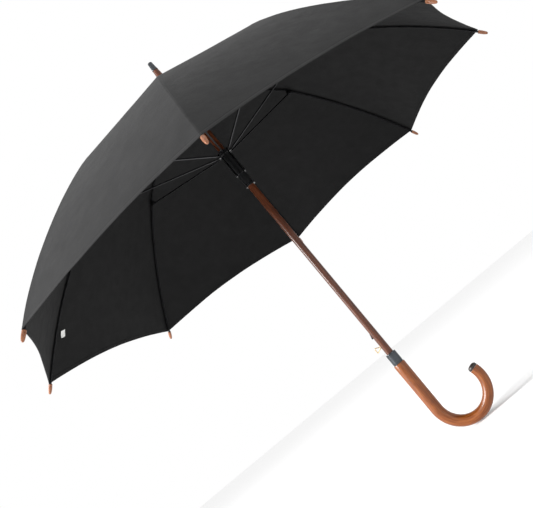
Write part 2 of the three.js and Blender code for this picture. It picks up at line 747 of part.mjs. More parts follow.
/** The wire trigger: a loop, narrow at the lever and wide at its outer end. */
function triggerSolid() {
  const startX = LEVER_OUTER_X - GAP;
  const outerX = -SHAFT_R - TRIGGER_OUT + TRIGGER_WIRE_R;
  const wide = TRIGGER_HEIGHT / 2 - TRIGGER_WIRE_R;
  const upper = [
    [startX, 1.6],
    [startX - 2.5, 1.6],
    [outerX + 2.6, wide - 0.6],
    [outerX + 0.8, wide],
    [outerX, wide - 1],
    [outerX, 0],
  ];
  const lower = upper.slice(0, -1).reverse().map(([x, z]) => [x, -z]);
  const knots = [...upper, ...lower].map(([x, z]) => new THREE.Vector3(x, TRIGGER_Z + z, 0));
  const curve = new THREE.CatmullRomCurve3(knots, false, 'centripetal');
  const path = curve.getSpacedPoints(TRIGGER_STEPS).map((p) => new THREE.Vector2(p.x, p.y));
  return bar(path, path.map(() => TRIGGER_WIRE_R), WIRE_SIDES);
}

/** The leaf spring behind the lever. */
function leafSolid() {
  const back = -SHAFT_R + CATCH_SLOT_DEPTH - GAP;
  const bow = LEVER_INNER_X + GAP + LEAF_THICKNESS / 2;
  const points = [
    new THREE.Vector3(back - LEAF_THICKNESS, LEAF_LOW_Z, 0),
    new THREE.Vector3(bow, LEAF_BOW_Z, 0),
    new THREE.Vector3(back - LEAF_THICKNESS, LEAF_HIGH_Z, 0),
  ];
  const curve = new THREE.CatmullRomCurve3(points);
  const path = curve.getSpacedPoints(LEAF_STEPS).map((p) => new THREE.Vector2(p.x, p.y));
  const outer = path.map((p) => [p.x - LEAF_THICKNESS / 2, p.y]);
  const inner = path.map((p) => [p.x + LEAF_THICKNESS / 2, p.y]).reverse();
  return plate([...outer, ...inner], LEVER_WIDTH);
}

// ---------------------------------------------------------------- handle

function collarSolid() {
  const top = COLLAR_BOTTOM_Z + COLLAR_LENGTH;
  const low = COLLAR_BOTTOM_Z + GAP;
  return turned([
    [SHAFT_R + GAP, low],
    [COLLAR_R, low],
    [COLLAR_R, top - 1],
    [COLLAR_R - 1, top],
    [SHAFT_R + GAP, top],
    [SHAFT_R + GAP, low],
  ]);
}

/** Points of the crook's centreline, as (x, z), with the radius at each. */
function crookLine() {
  const path = [COLLAR_BOTTOM_Z, 20, -20].map((z) => new THREE.Vector2(0, z));
  const radii = path.map(() => GRIP_R);
  for (let k = 0; k <= CROOK_STEPS; k += 1) {
    const angle = Math.PI + (CROOK_SWEEP * k) / CROOK_STEPS;
    const x = CROOK_BEND_R + CROOK_BEND_R * Math.cos(angle);
    const z = CROOK_CENTRE_Z + CROOK_BEND_R * Math.sin(angle);
    path.push(new THREE.Vector2(x, z));
    radii.push(GRIP_R + ((CROOK_END_R - GRIP_R) * k) / CROOK_STEPS);
  }
  return { path, radii };
}

function crookSolid() {
  const { path, radii } = crookLine();
  const socket = turned([
    [0, SHAFT_BOTTOM_Z - GAP],
    [SHAFT_R + GAP, SHAFT_BOTTOM_Z - GAP],
    [SHAFT_R + GAP, COLLAR_BOTTOM_Z + 5],
    [0, COLLAR_BOTTOM_Z + 5],
  ]);
  return cut(bar(path, radii, CROOK_SIDES), socket);
}

function endCapSolid() {
  const { path } = crookLine();
  const end = path[path.length - 1];
  const along = end.clone().sub(path[path.length - 2]).normalize();
  const start = end.clone().addScaledVector(along, GAP);
  const cap = new THREE.LatheGeometry([
    new THREE.Vector2(0, 0),
    new THREE.Vector2(CROOK_END_R, 0),
    new THREE.Vector2(CROOK_END_R, END_CAP_LENGTH * 0.55),
    new THREE.Vector2(CROOK_END_R * 0.82, END_CAP_LENGTH * 0.88),
    new THREE.Vector2(CROOK_END_R * 0.45, END_CAP_LENGTH),
    new THREE.Vector2(0, END_CAP_LENGTH),
  ], CROOK_SIDES);
  cap.rotateX(90 * DEG).rotateY(Math.atan2(along.x, along.y));
  return solid(cap.translate(start.x, 0, start.y));
}

// ---------------------------------------------------------------- the assembly

const finish = (color, roughness, metalness) =>
  new THREE.MeshStandardMaterial({ color, roughness, metalness });

const materials = {
  cloth: finish(0x17181a, 0.85, 0),
  wood: finish(0x8a4a26, 0.4, 0),
  tipWood: finish(0x8f4f2a, 0.45, 0),
  blackSteel: finish(0x121212, 0.45, 0.8),
  blackPlastic: finish(0x0c0c0d, 0.4, 0),
  gunmetal: finish(0x4a4c50, 0.25, 1),
  brass: finish(0xb08a45, 0.3, 1),
  springSteel: finish(0x9a9a9a, 0.3, 1),
};

function piece(name, manifold, material) {
  const mesh = new THREE.Mesh(geometryOf(manifold), material);
  mesh.name = name;
  return mesh;
}

const stopPin = crossBar(0, stopPinZ, STOP_PIN_R, STOP_PIN_LENGTH);
const catchPin = crossBar(CATCH_PIVOT_X, CATCH_PIVOT_Z, CATCH_PIN_R, CATCH_PIN_LENGTH);

const umbrella = new THREE.Group();
umbrella.add(
  piece('shaft', shaftSolid(), materials.wood),
  piece('ferrule_cap', ferruleSolid(), materials.gunmetal),
  piece('top_notch', notchSolid(), materials.blackPlastic),
  piece('notch_wire', notchWireSolid(), materials.springSteel),
  piece('crown_washer', washerSolid(), materials.blackPlastic),
  piece('stop_pin', stopPin, materials.springSteel),
  piece('runner_barrel', barrelSolid(), materials.blackPlastic),
  piece('runner_sleeve', sleeveSolid(), materials.blackPlastic),
  piece('drive_pin', drivePinSolid(), materials.springSteel),
  piece('opening_spring', springSolid(), materials.springSteel),
  piece('catch_lever', leverSolid(), materials.blackSteel),
  piece('catch_pin', catchPin, materials.springSteel),
  piece('catch_leaf_spring', leafSolid(), materials.springSteel),
  piece('trigger_wire', triggerSolid(), materials.brass),
  piece('collar', collarSolid(), materials.gunmetal),
  piece('crook_handle', crookSolid(), materials.wood),
  piece('crook_end_cap', endCapSolid(), materials.blackPlastic),
);

const armPieces = [
  ['rib', ribSolid(), materials.blackSteel],
  ['rib_tip', ribTipSolid(), materials.tipWood],
  ['rib_clip', clipSolid(), materials.blackSteel],
  ['stretcher', stretcherSolid(), materials.blackSteel],
  ['canopy_panel', clothSolid(), materials.cloth],
];

for (let k = 0; k < ARM_COUNT; k += 1) {
  const arm = new THREE.Group();
  arm.rotation.z = CANOPY_TURN + (k * 2 * Math.PI) / ARM_COUNT;
  for (const [name, manifold, material] of armPieces) {
    arm.add(piece(`${name}_${k + 1}`, manifold, material));
  }
  umbrella.add(arm);
}

export default umbrella;
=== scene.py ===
"""The looks of an automatic stick umbrella with a crook handle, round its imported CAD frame.

Metres. +Z runs up the shaft to the ferrule, and the crook turns towards +X.
"""
import bisect
import math

import bpy
from mathutils import Matrix, Quaternion, Vector, noise


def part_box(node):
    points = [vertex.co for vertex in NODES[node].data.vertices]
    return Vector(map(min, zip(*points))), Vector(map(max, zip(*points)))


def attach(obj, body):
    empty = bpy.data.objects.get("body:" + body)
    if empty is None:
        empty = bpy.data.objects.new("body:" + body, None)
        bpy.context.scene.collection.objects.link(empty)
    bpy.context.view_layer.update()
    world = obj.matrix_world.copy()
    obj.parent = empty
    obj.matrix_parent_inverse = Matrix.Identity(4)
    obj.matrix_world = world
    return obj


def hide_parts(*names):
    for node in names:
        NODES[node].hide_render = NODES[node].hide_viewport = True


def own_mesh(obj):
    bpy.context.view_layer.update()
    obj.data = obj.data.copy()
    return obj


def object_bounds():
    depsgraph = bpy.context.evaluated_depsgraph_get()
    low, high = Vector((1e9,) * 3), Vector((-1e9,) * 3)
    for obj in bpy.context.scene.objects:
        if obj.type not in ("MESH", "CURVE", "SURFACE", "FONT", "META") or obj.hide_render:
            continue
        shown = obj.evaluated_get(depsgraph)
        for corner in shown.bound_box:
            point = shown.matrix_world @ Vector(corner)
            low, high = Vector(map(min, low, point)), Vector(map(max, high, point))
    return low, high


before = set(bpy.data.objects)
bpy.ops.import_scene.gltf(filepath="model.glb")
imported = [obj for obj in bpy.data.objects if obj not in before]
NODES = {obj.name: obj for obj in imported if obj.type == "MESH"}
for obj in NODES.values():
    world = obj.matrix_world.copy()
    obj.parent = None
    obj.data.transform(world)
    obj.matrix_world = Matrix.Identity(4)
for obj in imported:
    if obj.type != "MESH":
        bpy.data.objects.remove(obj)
CAD_BOX = [list(corner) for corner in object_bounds()]
MM = 0.001

# ---------------------------------------------------------------- sizes
# They are as in the part's source, but the cloth's lift and thickness are the looks' own.

ARM_COUNT = 8
CANOPY_TURN = math.radians(18.7)
HALF_GORE = math.pi / ARM_COUNT
NOTCH_PIVOT = Vector((10.5, 716)) * MM
TIP = Vector((515, 400)) * MM
RIB_HALF_TURN = math.radians(17.5)
CLIP_SHARE = 0.44
CROWN_HEADING = math.radians(-31)
CROWN_PULL = 150 * MM
SHOULDER_PULL = 50 * MM
CLOTH_LIFT = 3.1 * MM
CLOTH_THICKNESS = 0.6 * MM
CLOTH_EYE_R = 8.2 * MM
HEM_SHARE = 0.962
HEM_MID_SHARE = 0.936
CROWN_RISE = 6.5 * MM
CROWN_RISE_R = 60 * MM
TIP_GAP = 0.6 * MM
TIP_LENGTH = 18 * MM
TIP_RADIUS = 3.4 * MM
SOCKET_R = 7.1 * MM
SOCKET_FLOOR_Z = -30.3 * MM
FERRULE_BOTTOM_Z = 746.3 * MM
FERRULE_TOP_Z = 765 * MM
COLLAR_LOW_Z = 48.3 * MM
COLLAR_TOP_Z = 72 * MM
COLLAR_R = 10 * MM
GRIP_TOP_Z = 48 * MM
GRIP_R = 11.3 * MM
CROOK_END_R = 9.2 * MM
CROOK_CENTRE = Vector((51, -55)) * MM
CROOK_BEND_R = 51 * MM
CROOK_SWEEP = math.radians(198)
END_CAP_LENGTH = 8 * MM
END_GAP = 0.3 * MM
TRIGGER_Z = 90 * MM
SPRING_LOW_Z = 130.8 * MM
SPRING_HIGH_Z = 484.8 * MM
SPRING_R = 3.3 * MM
SPRING_WIRE_R = 0.5 * MM
SPRING_TURNS = 16

# ---------------------------------------------------------------- meshes

SMOOTH_ANGLE = math.radians(38)


def add_mesh(name, points, faces, mat, grain=None):
    """A smooth-shaded mesh object, with sharp edges where its faces turn by more than SMOOTH_ANGLE."""
    mesh = bpy.data.meshes.new(name)
    mesh.from_pydata([tuple(p) for p in points], [], faces)
    mesh.validate()
    mesh.polygons.foreach_set("use_smooth", [True] * len(mesh.polygons))
    mesh.set_sharp_from_angle(angle=SMOOTH_ANGLE)
    if grain:
        attribute = mesh.attributes.new("grain", "FLOAT_VECTOR", "POINT")
        attribute.data.foreach_set("vector", [c for v in grain for c in v])
    mesh.materials.append(mat)
    obj = bpy.data.objects.new(name, mesh)
    bpy.context.scene.collection.objects.link(obj)
    return obj


def ring_faces(rings):
    """Faces between neighbouring rings, each a list of point numbers; a ring of one point is a pole."""
    faces = []
    for low, high in zip(rings, rings[1:]):
        count = max(len(low), len(high))
        for n in range(count):
            a = low[n % len(low)]
            b = low[(n + 1) % len(low)]
            c = high[(n + 1) % len(high)]
            d = high[n % len(high)]
            face = []
            for corner in (a, b, c, d):
                if corner not in face:
                    face.append(corner)
            if len(face) > 2:
                faces.append(face)
    return faces


def transported(path):
    """A direction across the path at each of its points, carried along without twist."""
    alongs = []
    for k in range(len(path)):
        step = path[min(k + 1, len(path) - 1)] - path[max(k - 1, 0)]
        alongs.append(step.normalized())
    across = Vector((0, 1, 0)).cross(alongs[0])
    if across.length < 0.1:
        across = Vector((1, 0, 0)).cross(alongs[0])
    frames = []
    for along in alongs:
        across = (across - along * across.dot(along)).normalized()
        frames.append((along, across, along.cross(across)))
    return frames


def tube(name, path, radii, sides, mat, lead=()):
    """A round bar along a path. lead holds (point number, radius) rings before it, such as a socket's."""
    frames = transported(path)
    stops = list(lead) + list(enumerate(radii))
    lengths = [0.0]
    for a, b in zip(path, path[1:]):
        lengths.append(lengths[-1] + (b - a).length)
    points, grain, rings = [], [], []

    def add_ring(k, radius, centre):
        ring = []
        count = 1 if radius == 0 else sides
        for n in range(count):
            angle = 2 * math.pi * n / sides
            side = frames[k][1] * math.cos(angle) + frames[k][2] * math.sin(angle)
            ring.append(len(points))
            points.append(centre + side * radius)
            grain.append((radius * math.cos(angle), radius * math.sin(angle), lengths[k]))
        rings.append(ring)

    add_ring(stops[0][0], 0, path[stops[0][0]])
    for k, radius in stops:
        add_ring(k, radius, path[k])
    add_ring(len(path) - 1, 0, path[-1])
    return add_mesh(name, points, ring_faces(rings), mat, grain)


def turned(name, outline, sides, mat, place=None, closed=False):
    """A turned piece about Z from its outline's (radius, height) points, moved by place."""
    place = place or Matrix.Identity(4)
    points, rings = [], []
    for radius, height in outline:
        count = 1 if radius == 0 else sides
        ring = []
        for n in range(count):
            angle = 2 * math.pi * n / sides
            ring.append(len(points))
            points.append(place @ Vector((radius * math.cos(angle), radius * math.sin(angle), height)))
        rings.append(ring)
    if closed:
        rings.append(rings[0])
    return add_mesh(name, points, ring_faces(rings), mat)


def rounded(low, high, r, edge, steps=4):
    """The outer corners of a band as (radius, height) points, rounded top and bottom."""
    points = []
    for k in range(steps + 1):
        angle = math.pi / 2 * k / steps
        points.append((r - edge + edge * math.sin(angle), low + edge - edge * math.cos(angle)))
    for k in range(steps + 1):
        angle = math.pi / 2 * k / steps
        points.append((r - edge + edge * math.cos(angle), high - edge + edge * math.sin(angle)))
    return points


# ---------------------------------------------------------------- materials


class Nodes:
    """A material's node tree, with one shader."""

    def __init__(self, name, color, roughness, **sockets):
        self.mat = bpy.data.materials.new(name)
        self.mat.use_nodes = True
        self.tree = self.mat.node_tree
        self.shader = self.tree.nodes["Principled BSDF"]
        self.shader.inputs["Base Color"].default_value = (*color, 1)
        self.shader.inputs["Roughness"].default_value = roughness
        for key, value in sockets.items():
            self.shader.inputs[key.replace("_", " ")].default_value = value
        self.mat.diffuse_color = (*color, 1)

    def node(self, kind, **values):
        made = self.tree.nodes.new(kind)
        for key, value in values.items():
            if hasattr(made, key):
                setattr(made, key, value)
            else:
                made.inputs[key.replace("_", " ")].default_value = value
        return made

    def link(self, source, target):
        self.tree.links.new(source, target)

    def place(self, scale, attribute=None):
        """Texture coordinates from the object, or from a named attribute, scaled."""
        mapping = self.node("ShaderNodeMapping")
        mapping.inputs["Scale"].default_value = scale
        if attribute:
            source = self.node("ShaderNodeAttribute", attribute_name=attribute)
            self.link(source.outputs["Vector"], mapping.inputs["Vector"])
        else:
            source = self.node("ShaderNodeTexCoord")
            self.link(source.outputs["Object"], mapping.inputs["Vector"])
        return mapping.outputs["Vector"]

    def noise(self, vector, scale, detail=3.0, distortion=0.0):
        made = self.node("ShaderNodeTexNoise", Scale=scale, Detail=detail, Distortion=distortion)
        self.link(vector, made.inputs["Vector"])
        return made.outputs["Fac"]

    def ramp(self, value, stops):
        made = self.node("ShaderNodeValToRGB")
        ramp = made.color_ramp
        while len(ramp.elements) < len(stops):
            ramp.elements.new(0.5)
        for element, (position, color) in zip(ramp.elements, stops):
            element.position = position
            element.color = (*color, 1)
        self.link(value, made.inputs["Fac"])
        return made.outputs["Color"]

    def span(self, value, low, high):
        made = self.node("ShaderNodeMapRange")
        made.inputs["To Min"].default_value = low
        made.inputs["To Max"].default_value = high
        self.link(value, made.inputs["Value"])
        return made.outputs["Result"]

    def bump(self, height, strength, distance, under=None):
        made = self.node("ShaderNodeBump", Strength=strength, Distance=distance)
        self.link(height, made.inputs["Height"])
        if under:
            self.link(under, made.inputs["Normal"])
        return made.outputs["Normal"]

    def finish(self, color=None, roughness=None, normal=None):
        for source, target in ((color, "Base Color"), (roughness, "Roughness"), (normal, "Normal")):
            if source:
                self.link(source, self.shader.inputs[target])
        return self.mat


THREAD_SCALE = 620
THREAD_RELIEF = 0.0002  # metres
PUCKER_RELIEF = 0.002


def cloth_material(name, dark, light, sheen):
    """Black umbrella cloth: a fine plain weave with a soft sheen."""
    nodes = Nodes(name, light, 0.7, Sheen_Weight=sheen, Sheen_Roughness=0.45)
    nodes.shader.inputs["Specular IOR Level"].default_value = 0.12
    vector = nodes.place((1, 1, 1))
    mottle = nodes.noise(vector, 26, 4)
    color = nodes.ramp(mottle, [(0.3, dark), (0.75, light)])
    warp = nodes.node("ShaderNodeTexWave", bands_direction="X", Scale=THREAD_SCALE, Distortion=0.6)
    weft = nodes.node("ShaderNodeTexWave", bands_direction="Y", Scale=THREAD_SCALE, Distortion=0.6)
    nodes.link(vector, warp.inputs["Vector"])
    nodes.link(vector, weft.inputs["Vector"])
    weave = nodes.node("ShaderNodeMath", operation="MULTIPLY")
    nodes.link(warp.outputs["Fac"], weave.inputs[0])
    nodes.link(weft.outputs["Fac"], weave.inputs[1])
    pucker = nodes.bump(nodes.noise(vector, 38, 3), 0.35, PUCKER_RELIEF)
    normal = nodes.bump(weave.outputs["Value"], 0.25, THREAD_RELIEF, pucker)
    roughness = nodes.span(nodes.noise(vector, 55, 2), 0.62, 0.8)
    return nodes.finish(color, roughness, normal)


GRAIN_SCALE = 620
GRAIN_STRETCH = (1, 1, 0.06)  # long along the piece
PORE_SCALE = 2400
PORE_STRETCH = (1, 1, 0.03)
PORE_RELIEF = 0.0002


def wood_material(name, dark, middle, light, roughness, attribute=None):
    """Stained wood under lacquer, with its grain along the piece."""
    nodes = Nodes(name, middle, roughness, Coat_Weight=0.3, Coat_Roughness=0.14)
    nodes.shader.inputs["Specular IOR Level"].default_value = 0.25
    grain = nodes.noise(nodes.place(GRAIN_STRETCH, attribute), GRAIN_SCALE, 5, 0.8)
    color = nodes.ramp(grain, [(0.3, dark), (0.52, middle), (0.72, light)])
    pores = nodes.noise(nodes.place(PORE_STRETCH, attribute), PORE_SCALE, 2)
    normal = nodes.bump(pores, 0.12, PORE_RELIEF)
    return nodes.finish(color, nodes.span(grain, roughness - 0.06, roughness + 0.1), normal)


BRUSH_SCALE = 900
BLOTCH_SCALE = 160
BRUSH_RELIEF = 0.0001


def metal_material(name, color, roughness, brushed, wear):
    """Metal with fine brushing and a little wear in its colour."""
    nodes = Nodes(name, color, roughness, Metallic=1.0)
    streaks = nodes.noise(nodes.place(brushed), BRUSH_SCALE, 3)
    blotches = nodes.noise(nodes.place((1, 1, 1)), BLOTCH_SCALE, 3)
    shades = [(0.3, tuple(c * (1 - wear) for c in color)), (0.7, tuple(c * (1 + wear) for c in color))]
    normal = nodes.bump(streaks, 0.1, BRUSH_RELIEF)
    return nodes.finish(
        nodes.ramp(blotches, shades), nodes.span(streaks, roughness - 0.07, roughness + 0.1), normal
    )


PLAIN_RELIEF = 0.0002
PLAIN_DARK = 0.8
PLAIN_LIGHT = 1.25


def plain_material(name, color, roughness, scale, strength):
    """Moulded plastic, paint or tape: nearly one colour, with a fine texture."""
    nodes = Nodes(name, color, roughness)
    texture = nodes.noise(nodes.place((1, 1, 1)), scale, 3)
    dark = tuple(c * PLAIN_DARK for c in color)
    light = tuple(c * PLAIN_LIGHT for c in color)
    shades = [(0.3, dark), (0.7, light)]
    normal = nodes.bump(texture, strength, PLAIN_RELIEF)
    return nodes.finish(
        nodes.ramp(texture, shades), nodes.span(texture, roughness - 0.06, roughness + 0.1), normal
    )


CLOTH = cloth_material("cloth_outside", (0.0135, 0.0135, 0.0138), (0.0185, 0.0185, 0.0188), 0.03)
# The inside of the cloth is the outside's cloth darkened to under a third, without sheen: painted shade
# for the canopy's underside.
CLOTH_INSIDE_PAINTED_SHADE = cloth_material("cloth_inside_painted_shade", (0.0036, 0.0036, 0.0037), (0.0052, 0.0052, 0.0053), 0.0)
WOOD = wood_material("stick_wood", (0.04, 0.01, 0.004), (0.08, 0.021, 0.007), (0.13, 0.038, 0.013), 0.36)
CROOK_WOOD = wood_material(
    "crook_wood", (0.1, 0.024, 0.004), (0.19, 0.05, 0.009), (0.27, 0.085, 0.016), 0.34, "grain"
)
TIP_WOOD = wood_material("tip_wood", (0.12, 0.04, 0.017), (0.22, 0.08, 0.034), (0.3, 0.12, 0.05), 0.42)
BLACK_STEEL = metal_material("black_steel", (0.03, 0.03, 0.032), 0.42, (1, 1, 0.1), 0.2)
BLACK_PLASTIC = plain_material("black_plastic", (0.008, 0.008, 0.0085), 0.3, 1400, 0.15)
GUNMETAL = metal_material("gunmetal", (0.07, 0.076, 0.082), 0.2, (1, 1, 0.04), 0.12)
BRASS = metal_material("brass", (0.62, 0.43, 0.2), 0.25, (1, 1, 1), 0.12)
SPRING_STEEL = metal_material("spring_steel", (0.45, 0.45, 0.46), 0.28, (1, 1, 1), 0.15)
END_BLACK = plain_material("end_black", (0.02, 0.014, 0.012), 0.35, 900, 0.12)
LABEL_WHITE = plain_material("label_white", (0.72, 0.72, 0.7), 0.8, 2200, 0.3)

# ---------------------------------------------------------------- the rib's line and the cloth

CHORD = TIP - NOTCH_PIVOT
CHORD_ANGLE = math.atan2(CHORD.y, CHORD.x)
ARC_RADIUS = CHORD.length / 2 / math.sin(RIB_HALF_TURN)
ARC_LENGTH = ARC_RADIUS * 2 * RIB_HALF_TURN
CROWN_SHARE = (CLOTH_EYE_R - NOTCH_PIVOT.x) / ARC_LENGTH
GORE_LENGTH = ARC_LENGTH * (HEM_SHARE - CROWN_SHARE)


def outward(heading):
    """The direction square to a heading, on the cloth's side of the rib."""
    return Vector((-math.sin(heading), math.cos(heading)))


def ahead(heading):
    return Vector((math.cos(heading), math.sin(heading)))


def arc_heading(share):
    return CHORD_ANGLE + RIB_HALF_TURN * (1 - 2 * share)


ARC_CENTRE = NOTCH_PIVOT - outward(arc_heading(0)) * ARC_RADIUS
SHOULDER = ARC_CENTRE + outward(arc_heading(CLIP_SHARE)) * ARC_RADIUS
CURVE = (
    NOTCH_PIVOT,
    NOTCH_PIVOT + ahead(CROWN_HEADING) * CROWN_PULL,
    SHOULDER - ahead(arc_heading(CLIP_SHARE)) * SHOULDER_PULL,
    SHOULDER,
)
CURVE_STEPS = 400


def on_curve(t):
    """A point of the rib's inner part, between the notch and the clip."""
    weights = ((1 - t) ** 3, 3 * t * (1 - t) ** 2, 3 * t * t * (1 - t), t ** 3)
    return sum((point * weight for point, weight in zip(CURVE, weights)), Vector((0, 0)))


def curve_heading(t):
    weights = ((1 - t) ** 2, 2 * t * (1 - t), t * t)
    steps = [b - a for a, b in zip(CURVE, CURVE[1:])]
    way = sum((step * weight for step, weight in zip(steps, weights)), Vector((0, 0)))
    return math.atan2(way.y, way.x)


def curve_table():
    """The length of the inner part up to each of its steps."""
    lengths = [0.0]
    for k in range(CURVE_STEPS):
        step = on_curve((k + 1) / CURVE_STEPS) - on_curve(k / CURVE_STEPS)
        lengths.append(lengths[-1] + step.length)
    return lengths


CURVE_LENGTHS = curve_table()


def curve_place(share):
    """Where along the inner part's curve a share of the rib's length falls, from 0 to 1."""
    wanted = max(share, 0) / CLIP_SHARE * CURVE_LENGTHS[-1]
    k = min(bisect.bisect_right(CURVE_LENGTHS, wanted) - 1, CURVE_STEPS - 1)
    span = CURVE_LENGTHS[k + 1] - CURVE_LENGTHS[k]
    return (k + (wanted - CURVE_LENGTHS[k]) / span) / CURVE_STEPS


def heading_at(share):
    """The rib's heading at a share of its length, as an angle above the horizontal."""
    return arc_heading(share) if share >= CLIP_SHARE else curve_heading(curve_place(share))


def rib_point(share, lift=0.0):
    """A point along the rib, lifted above its centreline, as (radius, height)."""
    if share >= CLIP_SHARE:
        return ARC_CENTRE + outward(arc_heading(share)) * (ARC_RADIUS + lift)
    place = curve_place(share)
    heading = curve_heading(place)
    before = ahead(heading) * min(share, 0) * ARC_LENGTH
    return on_curve(place) + before + outward(heading) * lift


SEAM_OFFSETS = [0, 0.9 * MM, 1.8 * MM, 3.2 * MM]  # columns beside the seam over the rib
SEAM_LIFTS = [-0.35 * MM, 0.16 * MM, 0.16 * MM, 0]
SEAM_ROOM = 9 * MM  # half gores narrower than this pull the seam's columns in
OPEN_COLUMNS = 9
PLAIN_ROWS = 34
HEM_WIDTH = 8 * MM
HEM_ROWS = [8.6, 8.0, 7.3, 6.7, 6.1, 3, 0.5, 0]  # from the hem's edge, in mm
STITCH_ROW_MM = 7.0
WRINKLE = 1.1 * MM
WRINKLE_START = 1.6  # how fast the wrinkles grow from the crown
LONG_WAVE = 9  # per metre
SHORT_WAVE = 31
SHORT_WAVE_SHARE = 0.3
WRINKLE_WAY = (0.5, 0.87)  # outward and up
ROUND_PART = 8  # round at the crown, and flat across each gore from 1/8 of the cloth's length on
HEM_FOLD = 0.45 * MM
STITCH_DEPTH = 0.25 * MM
STITCH_HALF_MM = 0.5
AREA_STEPS = 60


def half_columns(radius):
    """Offsets along the chord from the rib to the middle of the gore, and each one's seam lift."""
    width = radius * math.sin(HALF_GORE)
    tight = min(1, width / SEAM_ROOM)
    offsets = [o * tight for o in SEAM_OFFSETS]
    lifts = [lift * tight for lift in SEAM_LIFTS]
    last = offsets[-1]
    for k in range(1, OPEN_COLUMNS + 1):
        offsets.append(last + (width - last) * k / OPEN_COLUMNS)
        lifts.append(0)
    return list(zip(offsets, lifts))


def cloth_point(out, radius, offset, side, lift):
    """A point of the cloth in its arm's plane frame, at an offset from the seam along the chord."""
    x = radius - offset * math.sin(HALF_GORE)
    y = offset * math.cos(HALF_GORE)
    angle = math.atan2(y, x)
    turn = min(1, angle / HALF_GORE)
    dip = 1 - (1 - turn) ** 2
    hem_share = HEM_SHARE - (HEM_SHARE - HEM_MID_SHARE) * dip
    share = CROWN_SHARE + (hem_share - CROWN_SHARE) * out
    on_rib = rib_point(share, lift)
    straight = math.hypot(x, y) / radius
    roundness = min(1, max(0, 1 - out * ROUND_PART))
    reach = on_rib.x * (straight + (1 - straight) * roundness)
    rise = CROWN_RISE * max(0, 1 - on_rib.x / CROWN_RISE_R) ** 2
    return Vector((reach * math.cos(angle), side * reach * math.sin(angle), on_rib.y + rise))


def wrinkled(point, out):
    """The point moved by soft wrinkles, which depend on its place only, so that panels still meet."""
    amount = WRINKLE * min(1, out * WRINKLE_START)
    long_wave = noise.noise(point * LONG_WAVE)
    short_wave = noise.noise(point * SHORT_WAVE)
    flat = Vector((point.x, point.y, 0)).normalized()
    way = (flat * WRINKLE_WAY[0] + Vector((0, 0, WRINKLE_WAY[1]))).normalized()
    return point + way * amount * (long_wave + SHORT_WAVE_SHARE * short_wave)


def cloth_rows():
    """Shares from the crown to the hem, with how far each is from the hem's edge in mm."""
    length = GORE_LENGTH / MM
    outs = [(1 - HEM_ROWS[0] / length) * k / PLAIN_ROWS for k in range(PLAIN_ROWS)]
    outs += [1 - row / length for row in HEM_ROWS]
    return [(out, (1 - out) * length) for out in outs]


def stitch_dent(from_edge):
    """How far the hem's stitching pulls the cloth in, at a distance from its edge in mm."""
    return STITCH_DEPTH if abs(from_edge - STITCH_ROW_MM) < STITCH_HALF_MM else 0


def panel_layer(turn, inner):
    """One face of a panel, as rows of points."""
    rows = []
    for out, from_edge in cloth_rows():
        hem = HEM_WIDTH / MM > from_edge
        radius = rib_point(CROWN_SHARE + (HEM_SHARE - CROWN_SHARE) * out, CLOTH_LIFT).x
        half = half_columns(radius)
        row = []
        for side, columns in ((-1, reversed(half[1:])), (1, half)):
            for offset, seam in columns:
                lift = CLOTH_LIFT - (HEM_FOLD if hem else 0)
                if not inner:
                    lift = CLOTH_LIFT + CLOTH_THICKNESS + seam - stitch_dent(from_edge)
                point = turn @ cloth_point(out, radius, offset, side, lift)
                row.append(wrinkled(point, out))
        rows.append(row)
    return rows


def grid_faces(at, rows, columns):
    """The faces of a closed sheet: two grids of points and the strips round their edges."""
    faces = []
    for i in range(rows - 1):
        for j in range(columns - 1):
            faces.append((at(0, i, j), at(0, i, j + 1), at(0, i + 1, j + 1), at(0, i + 1, j)))
            faces.append((at(1, i, j), at(1, i + 1, j), at(1, i + 1, j + 1), at(1, i, j + 1)))
        faces.append((at(0, i, 0), at(0, i + 1, 0), at(1, i + 1, 0), at(1, i, 0)))
        end = columns - 1
        faces.append((at(0, i, end), at(1, i, end), at(1, i + 1, end), at(0, i + 1, end)))
    for j in range(columns - 1):
        end = rows - 1
        faces.append((at(0, 0, j), at(1, 0, j), at(1, 0, j + 1), at(0, 0, j + 1)))
        faces.append((at(0, end, j), at(0, end, j + 1), at(1, end, j + 1), at(1, end, j)))
    return faces


def sheet_piece(name, inner, outer, mat, under):
    """A closed sheet from its two faces' points. Its inner face has a material of its own, which on the
    canopy panels is the cloth darkened to under a third: painted shade.
    """
    rows, columns = len(inner), len(inner[0])
    points = [p for row in inner for p in row] + [p for row in outer for p in row]

    def at(layer, i, j):
        return (layer * rows + i) * columns + j

    piece = add_mesh(name, points, grid_faces(at, rows, columns), mat)
    piece.data.materials.append(under)
    layer = rows * columns
    for polygon in piece.data.polygons:
        polygon.material_index = 1 if max(polygon.vertices) < layer else 0
    return piece


def panel_area():
    """The flat area that one panel is cut to: the chord's width, summed along the rib."""
    total = 0.0
    for k in range(AREA_STEPS):
        share = CROWN_SHARE + (HEM_SHARE - CROWN_SHARE) * (k + 0.5) / AREA_STEPS
        total += 2 * rib_point(share).x * math.sin(HALF_GORE) * GORE_LENGTH / AREA_STEPS
    return total


GORE_WIDTH = 2 * rib_point(HEM_SHARE).x * math.sin(HALF_GORE)


def arm_turn(k):
    """The turn about the shaft from the X axis to rib k."""
    return Matrix.Rotation(CANOPY_TURN + (k - 1) * 2 * HALF_GORE, 4, "Z")


def fold_with_rib(piece, k):
    """A cloth piece rides on its rib, with a mesh of its own."""
    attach(piece, f"rib_{k}")
    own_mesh(piece)


def build_panel(k):
    """One panel of the canopy, from mid-gore to mid-gore, with rib k under its seam."""
    turn = arm_turn(k)
    inner = panel_layer(turn, True)
    outer = panel_layer(turn, False)
    # The panel's inner faces take the darker copy of the cloth, which paints the shade under the canopy.
    panel = sheet_piece(f"canopy_cloth_{k}", inner, outer, CLOTH, CLOTH_INSIDE_PAINTED_SHADE)
    fold_with_rib(panel, k)
    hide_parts(f"canopy_panel_{k}")
    panel_area()
    return panel


